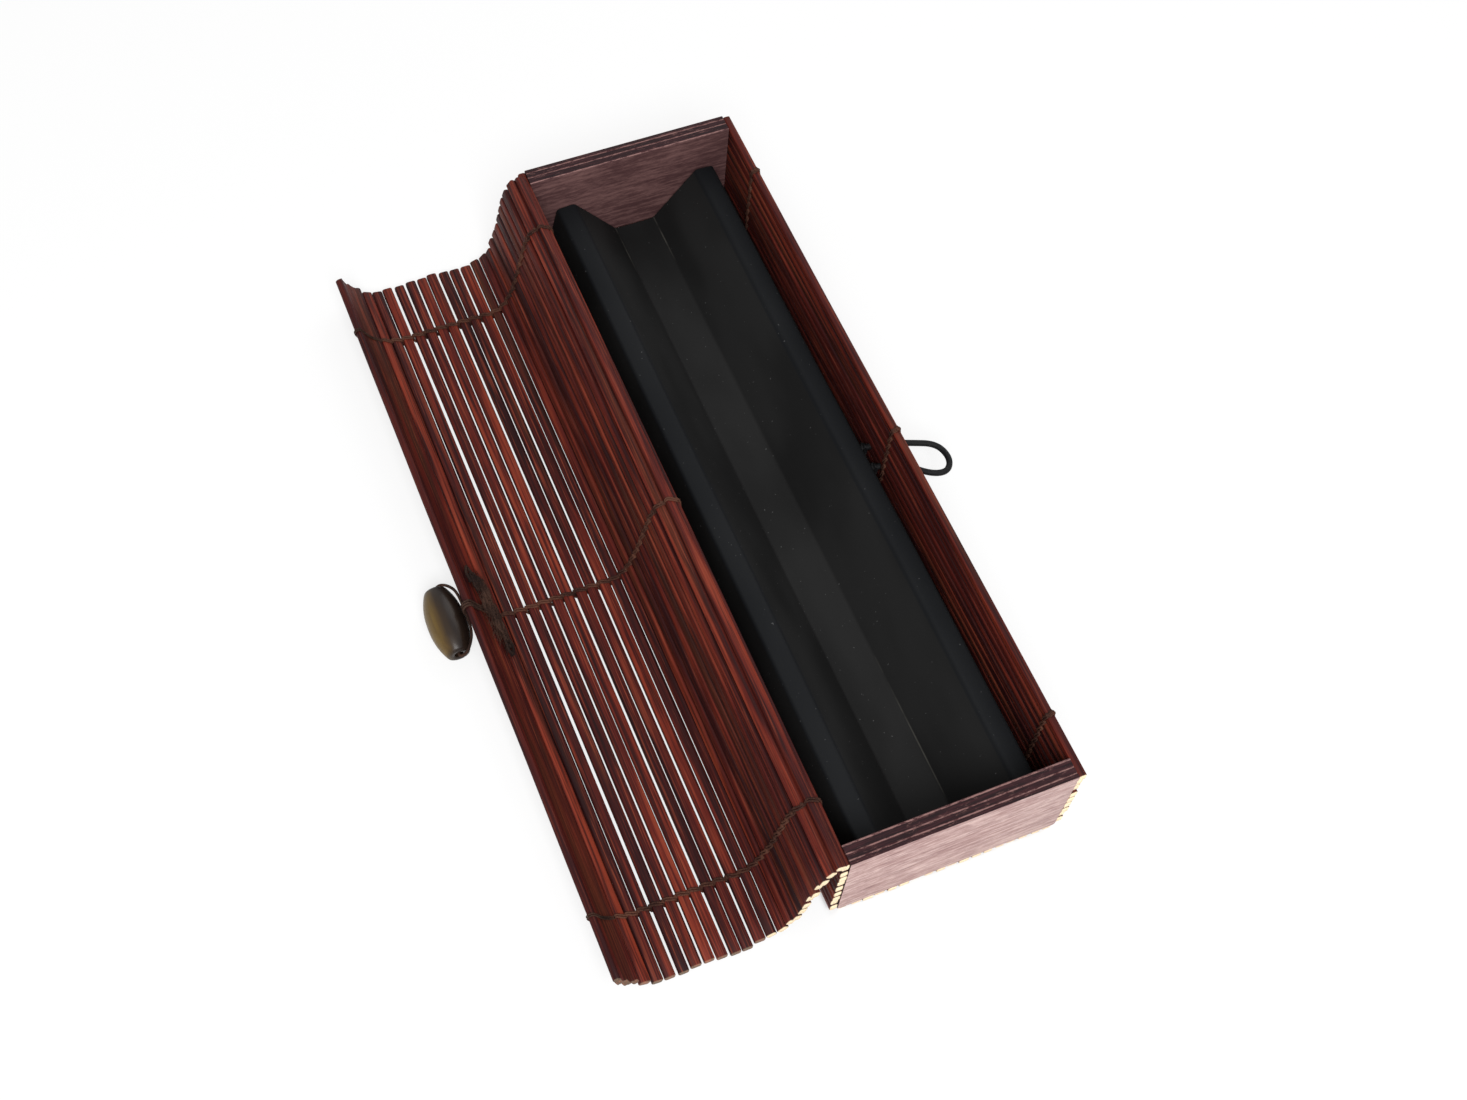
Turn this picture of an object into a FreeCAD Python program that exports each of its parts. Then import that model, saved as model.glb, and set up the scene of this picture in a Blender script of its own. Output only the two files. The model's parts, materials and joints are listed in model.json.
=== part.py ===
import FreeCAD, Part
import math
import os

from FreeCAD import Vector

# Slim keepsake box of bamboo slats sewn with thread: the same mat wraps round two ply
# end boards as walls and bottom, and goes on past the hinge wall as a roll-over lid.
# Millimetres. X runs across the box, from the hinge wall to the loop wall, Y along it.
# The origin is on the plane that the box stands on, at the middle of its width and at
# the middle row of thread. The lid is modelled open, lying beside the box.

# Driving dimensions

board_width = 51.8
board_height = 25.65
board_thickness = 4.7
board_corner_radius = 0.9   # rounding of the two lower corners, where the mat turns
box_near_y = -90.5          # outer faces of the end boards
box_far_y = 99.5

slat_width = 2.1
slat_thickness = 1.8
slat_corner_radius = 0.7    # rounding along the long edges of a slat
wall_slats = 9
bottom_slats = 18
lid_slats = 22
lid_gap = 0.78              # between two slats of the lid, a little looser than the walls
lid_near_y = -91.2
lid_far_y = 97.2
slat_length_play = 0.35     # how far the cut ends of the lid's slats are out of line
mat_side_play = 0.25        # bottom slats end this far inside each board's edge

end_slat_width = 8.4
end_slat_thickness = 1.7
end_slat_cup = 0.55         # rise of the cupped strip at its middle
end_slat_tilt = 55.0        # its outer edge leans on the toggle
end_slat_near_y = -90.3
end_slat_far_y = 97.5

thread_far_y = 80.5         # the three rows of thread; the middle one is at Y = 0
thread_near_y = -75.5
thread_thickness = 0.3
thread_width = 0.9
rung_width = 0.4            # thread that crosses between two slats
stitch_length = 0.9         # part of a stitch that lies across one slat
stitch_flat = 0.5           # level part at the top of a stitch
seat_gap = 0.02             # between a stitch and the curved slat under it

# The open lid falls away from the hinge wall: each value is the direction of one slat,
# in degrees from +X. Between the two lists, steep slats fill up the height of the wall,
# and one more slat comes down onto the table.
fall_top_directions = [158, 232, 254, 257, 258]
steep_direction = 258
fall_foot_directions = [257, 254, 251, 246, 228]
flat_direction = 180.0
lifted_directions = [168, 152]   # the last slats rise towards the wide one

card_thickness = 0.5
card_fold = 0.9
card_shift = 1.0            # the folded card sits a little off centre
card_floor = 10.4
card_crest_height = 14.1    # above the card's floor
card_ledge = 4.2
card_ledge_drop = 0.3       # the ledge beside each crest slopes down a little
card_foot_spread = 2.5      # how far each foot stands out past its ledge
card_knot_gap = 0.12        # between the card and the knots of the loop
card_near_gap = 0.3
card_far_gap = 2.3

loop_cord = 1.5
loop_inner_width = 6.7
loop_reach = 16.6           # how far the loop stands out of the wall
loop_droop = 6.0
loop_sweep = -24.0          # the loop leans along the wall, towards the near end
loop_leg_spacing = 5.8
loop_y = 4.4
loop_gap_index = 3          # gap of the loop wall that the cord comes out of, from below
knot_diameter = 2.6
knot_length = 3.2
knot_facets = 9             # straight steps in a knot's rounded outline

toggle_length = 18.0
toggle_diameter = 9.2
toggle_end_diameter = 5.6
toggle_bore = 2.0
toggle_lip = 0.6            # rounding round the flat ends
toggle_y = 1.5
cord_diameter = 0.7         # cord strung through the toggle
tie_width = 2.4
tie_thickness = 0.3
tie_play = 0.05             # between a tie and what it goes round
bead_play = 0.1             # between the toggle and the tie behind it
tie_knot_length = 7.0
tie_knot_width = 2.6
tie_knot_height = 1.8

# Sizes that follow

half_thickness = slat_thickness / 2
wall_pitch = board_height / wall_slats
bottom_pitch = (board_width - 2 * mat_side_play) / bottom_slats
lid_pitch = slat_width + lid_gap
floor_z = thread_thickness + slat_thickness      # underside of the end boards
board_top_z = floor_z + board_height
half_board = board_width / 2
wall_middle_x = half_board + half_thickness
wall_outer_x = half_board + slat_thickness
lying_z = thread_thickness + seat_gap + half_thickness
toggle_seat = cord_diameter + tie_thickness + 2 * tie_play + bead_play
cord_height = toggle_diameter / 2 + bead_play + tie_thickness + tie_play + cord_diameter / 2
thread_rows = {"far": thread_far_y, "middle": 0.0, "near": thread_near_y}
loop_z = floor_z + wall_pitch * loop_gap_index
knot_x = half_board - thread_thickness - seat_gap - knot_diameter / 2


def polar(length, degrees):
    """A vector in the XZ plane, turned up from +X."""
    angle = math.radians(degrees)
    return Vector(length * math.cos(angle), 0, length * math.sin(angle))


def turned(shape, degrees, place):
    """A copy turned in the XZ plane, up from +X, and moved to its place."""
    copy = shape.copy()
    copy.Placement = FreeCAD.Placement(place, FreeCAD.Rotation(Vector(0, 1, 0), -degrees))
    return copy


def along_y(face, near_y, far_y):
    """A solid from a face in the XZ plane, between two places on Y."""
    solid = face.copy()
    solid.translate(Vector(0, near_y, 0))
    return solid.extrude(Vector(0, far_y - near_y, 0))


def rounded_bar(width, thickness, corner, near_y, far_y):
    """A bar along Y with rounded long edges, centred on the Y axis."""
    bar = Part.makeBox(width, far_y - near_y, thickness, Vector(-width / 2, near_y, -thickness / 2))
    long_edges = [edge for edge in bar.Edges if abs(edge.tangentAt(edge.FirstParameter).y) > 0.9]
    return bar.makeFillet(corner, long_edges)


def strip_face(points, radius, thickness):
    """A thin strip in the XZ plane that follows a route with rounded corners."""
    sides = {1: [], -1: []}
    starts = [points[0]]
    arcs = []
    for before, corner, after in zip(points, points[1:], points[2:]):
        towards = (before - corner).normalize()
        away = (after - corner).normalize()
        half_angle = towards.getAngle(away) / 2
        reach = radius / math.tan(half_angle)
        middle = (towards + away).normalize()
        centre = corner + middle * (radius / math.sin(half_angle))
        starts.append(corner + towards * reach)
        starts.append(corner + away * reach)
        arcs.append((centre, middle * -1))
    starts.append(points[-1])
    for side in sides:
        for index in range(0, len(starts), 2):
            run = (starts[index + 1] - starts[index]).normalize()
            offset = Vector(-run.z, 0, run.x) * (side * thickness / 2)
            start = starts[index] + offset
            end = starts[index + 1] + offset
            if index:
                centre, outward = arcs[index // 2 - 1]
                last = sides[side][-1].valueAt(sides[side][-1].LastParameter)
                crown = centre + outward * (last - centre).Length
                sides[side].append(Part.Arc(last, crown, start).toShape())
            sides[side].append(Part.LineSegment(start, end).toShape())
    first = sides[1][0].valueAt(sides[1][0].FirstParameter)
    other_first = sides[-1][0].valueAt(sides[-1][0].FirstParameter)
    last = sides[1][-1].valueAt(sides[1][-1].LastParameter)
    other_last = sides[-1][-1].valueAt(sides[-1][-1].LastParameter)
    ends = [Part.LineSegment(first, other_first).toShape(), Part.LineSegment(last, other_last).toShape()]
    return Part.Face(Part.Wire(Part.__sortEdges__(sides[1] + sides[-1] + ends)))


def belt_edges(circles, margin):
    """The outline of a belt that runs tight round circles, given anticlockwise."""
    tangents = []
    for (here, radius), (there, next_radius) in zip(circles, circles[1:] + circles[:1]):
        run = there - here
        heading = math.degrees(math.atan2(run.z, run.x))
        lean = math.degrees(math.asin((radius - next_radius) / run.Length))
        normal = polar(1, heading - 90 + lean)
        tangents.append((here + normal * (radius + margin), there + normal * (next_radius + margin), normal))
    edges = []
    for index, (leave, arrive, normal) in enumerate(tangents):
        edges.append(Part.LineSegment(leave, arrive).toShape())
        next_leave, _, next_normal = tangents[(index + 1) % len(tangents)]
        centre, radius = circles[(index + 1) % len(circles)]
        crown = centre + (normal + next_normal).normalize() * (radius + margin)
        edges.append(Part.Arc(arrive, crown, next_leave).toShape())
    return edges


def belt(circles, clearance, thickness, near_y, far_y):
    """A closed band of thread round a section that circles describe."""
    outer = Part.Face(Part.Wire(belt_edges(circles, clearance + thickness)))
    inner = Part.Face(Part.Wire(belt_edges(circles, clearance)))
    return along_y(outer.cut(inner).Faces[0], near_y, far_y)


def tube(edges, diameter):
    """A round cord along a route of tangent lines and arcs."""
    route = Part.Wire(edges)
    start = route.Edges[0]
    direction = start.tangentAt(start.FirstParameter)
    ring = Part.Circle(start.valueAt(start.FirstParameter), direction, diameter / 2)
    return route.makePipeShell([Part.Wire(ring.toShape())], True, False)


# End boards

def end_board(near_y):
    board = Part.makeBox(board_width, board_thickness, board_height,
                         Vector(-half_board, near_y, floor_z))
    lower = [edge for edge in board.Edges
             if edge.BoundBox.ZMax < floor_z + 0.01 and edge.BoundBox.XLength < 0.01]
    return board.makeFillet(board_corner_radius, lower)


# Slats of the box

def wall_slat(side, index):
    centre = Vector(side * wall_middle_x, 0, floor_z + wall_pitch * (index + 0.5))
    return turned(rounded_bar(slat_width, slat_thickness, slat_corner_radius, box_near_y, box_far_y), 90, centre)


def bottom_slat(index):
    centre = Vector(bottom_pitch * (index + 0.5 - bottom_slats / 2), 0, thread_thickness + half_thickness)
    return turned(rounded_bar(slat_width, slat_thickness, slat_corner_radius, box_near_y, box_far_y), 0, centre)


# Rows of thread round the box: a strand on each face of the mat, joined by rungs that
# pass between the slats. Each row has a run under the bottom and one up each wall.

def box_thread(row_y):
    near_y = row_y - thread_width / 2
    far_y = row_y + thread_width / 2
    strand_top = board_top_z - (wall_pitch - slat_width) / 2 - slat_corner_radius
    middle = thread_thickness / 2
    outer_x = wall_outer_x + middle
    inner_x = half_board - middle
    outer_route = [Vector(-outer_x, 0, strand_top), Vector(-outer_x, 0, middle),
                   Vector(outer_x, 0, middle), Vector(outer_x, 0, strand_top)]
    inner_route = [Vector(-inner_x, 0, strand_top), Vector(-inner_x, 0, floor_z + middle),
                   Vector(inner_x, 0, floor_z + middle), Vector(inner_x, 0, strand_top)]
    outer = strip_face(outer_route, slat_thickness + middle, thread_thickness)
    inner = strip_face(inner_route, thread_thickness, thread_thickness)
    rungs = []
    for index in range(1, bottom_slats):
        gap_x = bottom_pitch * (index - bottom_slats / 2)
        rungs.append(Part.makeBox(rung_width, thread_width, floor_z + middle - thread_thickness / 2,
                                  Vector(gap_x - rung_width / 2, near_y, middle)))
    for index in range(1, wall_slats):
        gap_z = floor_z + wall_pitch * index
        for start_x in (-outer_x, inner_x):
            rungs.append(Part.makeBox(outer_x - inner_x, thread_width, rung_width,
                                      Vector(start_x, near_y, gap_z - rung_width / 2)))
    whole = along_y(outer, near_y, far_y).multiFuse([along_y(inner, near_y, far_y)] + rungs)
    whole = whole.removeSplitter()
    joint_x = half_board - thread_thickness - board_corner_radius / 2
    high = board_top_z + 1
    middle_part = Part.makeBox(2 * joint_x, thread_width, high, Vector(-joint_x, near_y, 0))
    side_part = Part.makeBox(half_board, thread_width, high, Vector(joint_x, near_y, 0))
    other_part = Part.makeBox(half_board, thread_width, high, Vector(-joint_x - half_board, near_y, 0))
    return Part.makeCompound([whole.common(part).Solids[0] for part in (middle_part, side_part, other_part)])


# Lid: links of the mat, each with the place of its hinge line and its direction

def lid_links():
    links = []
    place = Vector(-wall_middle_x, 0, board_top_z)
    drop = sum(polar(lid_pitch, turn).z for turn in fall_top_directions + fall_foot_directions)
    left_over = place.z - lying_z + drop
    steep_count = max(0, math.floor(left_over / -polar(lid_pitch, steep_direction).z))
    fall_directions = fall_top_directions + [steep_direction] * steep_count + fall_foot_directions
    for direction in fall_directions:
        links.append((place, direction))
        place = place + polar(lid_pitch, direction)
    landing = 180 + math.degrees(math.asin((place.z - lying_z) / lid_pitch))
    links.append((place, landing))
    place = place + polar(lid_pitch, landing)
    flat_count = lid_slats - len(links) - len(lifted_directions)
    for direction in [flat_direction] * flat_count + lifted_directions:
        links.append((place, direction))
        place = place + polar(lid_pitch, direction)
    links.append((place, flat_direction - end_slat_tilt))
    return links


def lid_slat(index, place, direction):
    near_y = lid_near_y + slat_length_play * math.sin(2.4 * index)
    far_y = lid_far_y + slat_length_play * math.sin(1.7 * index + 1)
    bar = rounded_bar(slat_width, slat_thickness, slat_corner_radius, near_y, far_y)
    return turned(bar, direction, place + polar(lid_pitch / 2, direction))


def lid_stitches(place, direction):
    """Stitches over and under one slat, in each row."""
    stitches = []
    for side in (1, -1):
        seat = side * (half_thickness + seat_gap)
        top = seat + side * thread_thickness
        outline = [Vector(-stitch_length / 2, 0, seat), Vector(stitch_length / 2, 0, seat),
                   Vector(stitch_flat / 2, 0, top), Vector(-stitch_flat / 2, 0, top)]
        face = Part.Face(Part.makePolygon(outline + outline[:1]))
        for row_y in thread_rows.values():
            stitches.append(along_y(face, row_y - thread_width / 2, row_y + thread_width / 2))
    group = Part.makeCompound(stitches)
    return turned(group, direction, place + polar(lid_pitch / 2, direction))


# Wide slat at the lid's edge, a cupped strip. Its own X runs from the inner edge to the
# outer one, and its +Z side is the face that shows when the lid is closed.

end_half = end_slat_thickness / 2
end_chord = end_slat_width - end_slat_thickness
end_radius = (end_chord ** 2 / 4 + end_slat_cup ** 2) / (2 * end_slat_cup)
end_middle_x = lid_gap / 2 + end_slat_width / 2
end_centre = Vector(end_middle_x, 0, end_slat_cup - end_radius)


def end_slat_face():
    half_angle = math.degrees(math.asin(end_chord / 2 / end_radius))
    rims = {}
    for side in (1, -1):
        radius = end_radius + side * end_half
        rims[side] = [end_centre + polar(radius, 90 + turn) for turn in (half_angle, 0, -half_angle)]
    tips = [end_centre + polar(end_radius, 90 + half_angle) - polar(end_half, half_angle),
            end_centre + polar(end_radius, 90 - half_angle) + polar(end_half, -half_angle)]
    edges = [Part.Arc(*rims[1]).toShape(),
             Part.Arc(rims[1][2], tips[1], rims[-1][2]).toShape(),
             Part.Arc(*rims[-1][::-1]).toShape(),
             Part.Arc(rims[-1][0], tips[0], rims[1][0]).toShape()]
    return Part.Face(Part.Wire(edges))


def end_slat_circles():
    """Circles along the strip's section, from its inner edge to its outer one."""
    half_angle = math.degrees(math.asin(end_chord / 2 / end_radius))
    turns = [half_angle * share for share in (1, 0.5, 0, -0.5, -1)]
    return [(end_centre + polar(end_radius, 90 + turn), end_half) for turn in turns]


def end_slat_threads():
    circles = end_slat_circles()
    belts = [belt(circles[:1] + circles[:0:-1], tie_play, thread_thickness,
                  row_y - thread_width / 2, row_y + thread_width / 2)
             for name, row_y in thread_rows.items() if name != "middle"]
    return Part.makeCompound(belts)


# Toggle: a barrel bead under the outer edge of the wide slat, strung on a cord that a
# tie holds to the slat. Places are given in the wide slat's own frame.

def toggle_place(link_place, link_direction):
    """The bead's axis in the box's frame: it lies on the table, against the slat."""
    radius = toggle_diameter / 2
    normal = polar(1, link_direction + 90)
    edge = polar(1, link_direction)
    depth = end_half + end_slat_cup + toggle_seat + radius
    run = (radius + seat_gap - link_place.z - normal.z * depth) / edge.z
    return link_place + normal * depth + edge * run


def toggle():
    radius = toggle_diameter / 2
    end_radius_y = toggle_end_diameter / 2
    bore = toggle_bore / 2
    half = toggle_length / 2
    start = Vector(bore, -half, 0)
    end = Vector(bore, half, 0)
    low = Vector(end_radius_y - toggle_lip, -half, 0)
    high = Vector(end_radius_y - toggle_lip, half, 0)
    low_rim = Vector(end_radius_y, -half + toggle_lip, 0)
    high_rim = Vector(end_radius_y, half - toggle_lip, 0)
    edges = [Part.LineSegment(start, low).toShape(),
             Part.LineSegment(low, low_rim).toShape(),
             Part.Arc(low_rim, Vector(radius, 0, 0), high_rim).toShape(),
             Part.LineSegment(high_rim, high).toShape(),
             Part.LineSegment(high, end).toShape(),
             Part.LineSegment(end, start).toShape()]
    return Part.Face(Part.Wire(edges)).revolve(Vector(0, 0, 0), Vector(0, 1, 0), 360)


def toggle_cord(axis_place, towards):
    """A loop of cord through the bore, and back between the bead and the slat."""
    half = toggle_length / 2 + cord_diameter
    height = cord_height
    bend = cord_diameter * 1.5
    along = Vector(0, 1, 0)

    def at(y_value, rise):
        return axis_place + along * y_value + towards * rise

    corners = [(half, 0, -1, 0, 0, 1), (half, height, 0, -1, -1, 0),
               (-half, height, 1, 0, 0, -1), (-half, 0, 0, 1, 1, 0)]
    edges = []
    previous = None
    diagonal = bend * (1 - math.sqrt(0.5))
    for y_value, rise, in_y, in_rise, out_y, out_rise in corners:
        enter = at(y_value + in_y * bend, rise + in_rise * bend)
        leave = at(y_value + out_y * bend, rise + out_rise * bend)
        crown = at(y_value + (in_y + out_y) * diagonal, rise + (in_rise + out_rise) * diagonal)
        if previous is not None:
            edges.append(Part.LineSegment(previous, enter).toShape())
        edges.append(Part.Arc(enter, crown, leave).toShape())
        previous = leave
    first = edges[0].valueAt(edges[0].FirstParameter)
    edges.append(Part.LineSegment(previous, first).toShape())
    edges = [edges[-1]] + edges[:-1]
    return tube(edges, cord_diameter)


def pulled_knot(width, length, height):
    """A knot as a rounded lump, with its length along Y."""
    stretch = FreeCAD.Matrix()
    stretch.scale(width / 2, length / 2, height / 2)
    return Part.makeSphere(1).transformGeometry(stretch)


def toggle_tie(link_place, link_direction, axis_place):
    """A tie round the wide slat and the cord beside it, with its knot on the inner face."""
    edge = polar(1, link_direction)
    normal = polar(1, link_direction + 90)
    cord_place = axis_place - normal * cord_height - link_place
    cord_local = Vector(cord_place.dot(edge), 0, cord_place.dot(normal))
    circles = end_slat_circles()
    wrapped = [circles[0], circles[-1], (cord_local, cord_diameter / 2)]
    band = belt(wrapped, tie_play, tie_thickness,
                toggle_y - tie_width / 2, toggle_y + tie_width / 2)
    knot = pulled_knot(tie_knot_width, tie_knot_length, tie_knot_height)
    knot_depth = end_half + tie_play + tie_thickness / 2 + tie_knot_height / 2
    knot.translate(Vector(lid_gap / 2 + end_half + tie_knot_width, toggle_y, -knot_depth))
    return turned(band.fuse(knot), link_direction, link_place)


# Folded card that lies in the box and holds what is kept in it

def card_cradle():
    half_card = card_thickness / 2
    bottom = floor_z + thread_thickness + seat_gap + half_card
    spread_at_knot = card_foot_spread * (loop_z - bottom) / (card_crest_height - card_ledge_drop)
    foot_x = knot_x - knot_diameter / 2 - card_knot_gap - half_card + spread_at_knot - card_shift
    crest_x = foot_x - card_foot_spread - card_ledge
    right = [Vector(card_floor / 2, 0, bottom),
             Vector(crest_x, 0, bottom + card_crest_height),
             Vector(crest_x + card_ledge, 0, bottom + card_crest_height - card_ledge_drop),
             Vector(foot_x, 0, bottom + half_card)]
    left = [Vector(-point.x, 0, point.z) for point in reversed(right)]
    shift = Vector(card_shift, 0, 0)
    face = strip_face([point + shift for point in left + right], card_fold, card_thickness)
    return along_y(face, box_near_y + board_thickness + card_near_gap,
                   box_far_y - board_thickness - card_far_gap)


# Elastic loop on the wall opposite the hinge

loop_pivot = Vector(wall_outer_x + thread_thickness + loop_cord / 2, loop_y, loop_z)


def elastic_loop():
    """The free loop: two legs that lead into a round end, drooping a little."""
    bend = (loop_inner_width + loop_cord) / 2
    reach = wall_outer_x + loop_reach - loop_pivot.x - loop_cord / 2 - bend
    sweep = math.radians(loop_sweep)
    centre = Vector(reach * math.cos(sweep), reach * math.sin(sweep), 0)
    starts = []
    touches = []
    for side in (-1, 1):
        start = Vector(0, side * loop_leg_spacing / 2, 0)
        run = centre - start
        heading = math.atan2(run.y, run.x) + side * math.asin(bend / run.Length)
        leg = math.sqrt(run.Length ** 2 - bend ** 2)
        starts.append(start)
        touches.append(start + Vector(math.cos(heading), math.sin(heading), 0) * leg)
    tip = centre + Vector(math.cos(sweep), math.sin(sweep), 0) * bend
    legs = [Part.LineSegment(starts[0], touches[0]).toShape(),
            Part.Arc(touches[0], tip, touches[1]).toShape(),
            Part.LineSegment(touches[1], starts[1]).toShape()]
    loop = tube(legs, loop_cord)
    for start in starts:
        loop = loop.fuse(Part.makeSphere(loop_cord / 2, start))
    return turned(loop, -loop_droop, loop_pivot)


def cord_hole(side, margin):
    radius = loop_cord / 2 + margin
    start = Vector(knot_x, loop_y + side * loop_leg_spacing / 2, loop_z)
    return Part.makeCylinder(radius, wall_outer_x - start.x, start, Vector(1, 0, 0))


def loop_knot():
    """The knots inside the wall, each with its leg of the cord through the wall."""
    profile = []
    for step in range(knot_facets + 1):
        turn = math.pi * (step / knot_facets - 0.5)
        profile.append(Vector(knot_diameter / 2 * math.cos(turn), knot_length / 2 * math.sin(turn), 0))
    lump = Part.Face(Part.makePolygon(profile + profile[:1])).revolve(Vector(0, 0, 0), Vector(0, 1, 0), 360)
    knots = []
    for side in (-1, 1):
        knot = lump.copy()
        knot.translate(Vector(knot_x, loop_y + side * loop_leg_spacing / 2, loop_z))
        knots.append(knot.fuse(cord_hole(side, 0)))
    return Part.makeCompound(knots)


def loop_wall():
    holes = [cord_hole(side, seat_gap) for side in (-1, 1)]
    slats = []
    for index in range(wall_slats):
        slat = wall_slat(1, index)
        if index in (loop_gap_index - 1, loop_gap_index):
            slat = slat.cut(Part.makeCompound(holes)).Solids[0]
        slats.append(slat)
    return Part.makeCompound(slats)


def build():
    nodes = {}
    nodes["end_board_near"] = end_board(box_near_y)
    nodes["end_board_far"] = end_board(box_far_y - board_thickness)
    nodes["hinge_wall_slats"] = Part.makeCompound([wall_slat(-1, i) for i in range(wall_slats)])
    nodes["loop_wall_slats"] = loop_wall()
    nodes["bottom_slats"] = Part.makeCompound([bottom_slat(i) for i in range(bottom_slats)])
    for name, row_y in thread_rows.items():
        nodes["box_thread_" + name] = box_thread(row_y)
    nodes["card_cradle"] = card_cradle()
    nodes["loop_knot"] = loop_knot()
    nodes["elastic_loop"] = elastic_loop()
    links = lid_links()
    for index, (place, direction) in enumerate(links[:-1], 1):
        nodes["lid_slat_%02d" % index] = lid_slat(index, place, direction)
        nodes["lid_thread_%02d" % index] = lid_stitches(place, direction)
    place, direction = links[-1]
    end_slat = along_y(end_slat_face(), end_slat_near_y, end_slat_far_y)
    nodes["lid_end_slat"] = turned(end_slat, direction, place)
    nodes["lid_end_thread"] = turned(end_slat_threads(), direction, place)
    axis_place = toggle_place(place, direction) + Vector(0, toggle_y, 0)
    nodes["toggle"] = turned(toggle(), 0, axis_place)
    nodes["toggle_cord"] = toggle_cord(axis_place, polar(1, direction - 90))
    nodes["toggle_tie"] = toggle_tie(place, direction, axis_place - Vector(0, toggle_y, 0))
    return nodes


os.makedirs("parts", exist_ok=True)
for node_name, node_shape in build().items():
    node_shape.exportStep(os.path.join("parts", node_name + ".step"))
print("links", [(round(p.x, 3), round(p.z, 3), round(d, 3)) for p, d in lid_links()])
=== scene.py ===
import json
import math
import random
from contextlib import contextmanager

import bpy
from mathutils import Matrix, Vector


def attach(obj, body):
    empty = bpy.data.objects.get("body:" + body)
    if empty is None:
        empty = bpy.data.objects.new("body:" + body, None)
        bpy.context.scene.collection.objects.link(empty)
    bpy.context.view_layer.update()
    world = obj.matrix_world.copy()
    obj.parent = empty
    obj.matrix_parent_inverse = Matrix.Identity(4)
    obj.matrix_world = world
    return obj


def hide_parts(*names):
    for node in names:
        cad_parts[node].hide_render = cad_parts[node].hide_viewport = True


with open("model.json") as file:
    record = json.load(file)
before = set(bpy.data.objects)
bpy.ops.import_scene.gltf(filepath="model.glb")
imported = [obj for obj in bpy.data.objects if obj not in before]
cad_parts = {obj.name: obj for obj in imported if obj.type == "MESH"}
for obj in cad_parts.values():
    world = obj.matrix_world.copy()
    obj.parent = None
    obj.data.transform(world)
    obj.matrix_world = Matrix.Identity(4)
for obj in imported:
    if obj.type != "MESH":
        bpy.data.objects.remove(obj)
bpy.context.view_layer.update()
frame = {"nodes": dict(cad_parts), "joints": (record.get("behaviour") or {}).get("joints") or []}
print("frame loaded:", len(frame["nodes"]), "nodes")

# Pieces are modelled in millimetres and brought to metres when they are put in place.
toMetres = Matrix.Scale(0.001, 4)
rows = {"far": 80.5, "middle": 0.0, "near": -75.5}      # where the rows of thread lie along Y
chance = random.Random(11)


# Modelling helpers

def activate(piece):
    bpy.ops.object.select_all(action="DESELECT")
    piece.select_set(True)
    bpy.context.view_layer.objects.active = piece


@contextmanager
def editing(piece, kind, test):
    # edit mode with the vertices, edges or polygons that pass the test selected
    activate(piece)
    mesh = piece.data
    for group in (mesh.vertices, mesh.edges, mesh.polygons):
        group.foreach_set("select", [False] * len(group))
    for item in getattr(mesh, kind):
        item.select = test(item)
    modes = [kind == name for name in ("vertices", "edges", "polygons")]
    bpy.context.tool_settings.mesh_select_mode = modes
    bpy.ops.object.mode_set(mode="EDIT")
    yield
    bpy.ops.object.mode_set(mode="OBJECT")


def everything(item):
    return True


def endsOf(piece, edge):
    return [piece.data.vertices[i].co for i in edge.vertices]


def spanOf(piece, edge):
    first, second = endsOf(piece, edge)
    return second - first


def lengthwise(piece, least=1):
    # a test for the edges that run along Y
    return lambda edge: abs(spanOf(piece, edge).y) > least


def fixNormals(piece):
    with editing(piece, "polygons", everything):
        bpy.ops.mesh.normals_make_consistent(inside=False)


def smooth(piece, degrees):
    activate(piece)
    bpy.ops.object.shade_smooth_by_angle(angle=math.radians(degrees))


def twin(piece):
    made = piece.copy()
    made.data = piece.data.copy()
    bpy.context.collection.objects.link(made)
    return made


def joined(pieces):
    activate(pieces[0])
    for piece in pieces[1:]:
        piece.select_set(True)
    if len(pieces) > 1:
        bpy.ops.object.join()
    return pieces[0]


def fresh(add, **settings):
    # a new primitive, alone in the selection, with its place in its mesh
    bpy.ops.object.select_all(action="DESELECT")
    add(**settings)
    bpy.ops.object.transform_apply(location=True, rotation=True, scale=True)
    return bpy.context.object


def box(size, centre):
    return fresh(bpy.ops.mesh.primitive_cube_add, size=1, location=centre, scale=size)


def strand(points, radius, sides=6, steps=3):
    # a cord on one smooth line, made a mesh
    curve = bpy.data.curves.new("strand", "CURVE")
    curve.dimensions = "3D"
    line = curve.splines.new("NURBS")
    line.points.add(len(points) - 1)
    for spot, point in zip(line.points, points):
        spot.co = (*point, 1)
    line.order_u = 3
    line.use_endpoint_u = True
    line.resolution_u = steps
    curve.bevel_depth = radius
    curve.bevel_resolution = max(0, sides // 2 - 2)
    curve.use_fill_caps = True
    made = bpy.data.objects.new("strand", curve)
    bpy.context.collection.objects.link(made)
    activate(made)
    bpy.ops.object.convert(target="MESH")
    return bpy.context.object


def mark(piece, name, values):
    found = piece.data.attributes.get(name)
    if found is None:
        found = piece.data.attributes.new(name, "FLOAT", "POINT")
    found.data.foreach_set("value", values)


def markCuts(piece, ends, shade):
    # the vertices of the two cut ends, which show the pale inside of the cane
    reach = 0.02
    mark(piece, "cut", [shade * (min(abs(vertex.co.y - end) for end in ends) < reach)
                        for vertex in piece.data.vertices])


def place(piece, name, body, node, finish, matrix=toMetres):
    # a finished piece: named, in metres, painted, and tied to its CAD body
    piece.name = name
    piece.data.name = name
    piece.data.transform(matrix)
    piece.data.materials.clear()
    piece.data.materials.append(finish)
    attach(piece, body)
    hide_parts(node)


# Shader helpers

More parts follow.
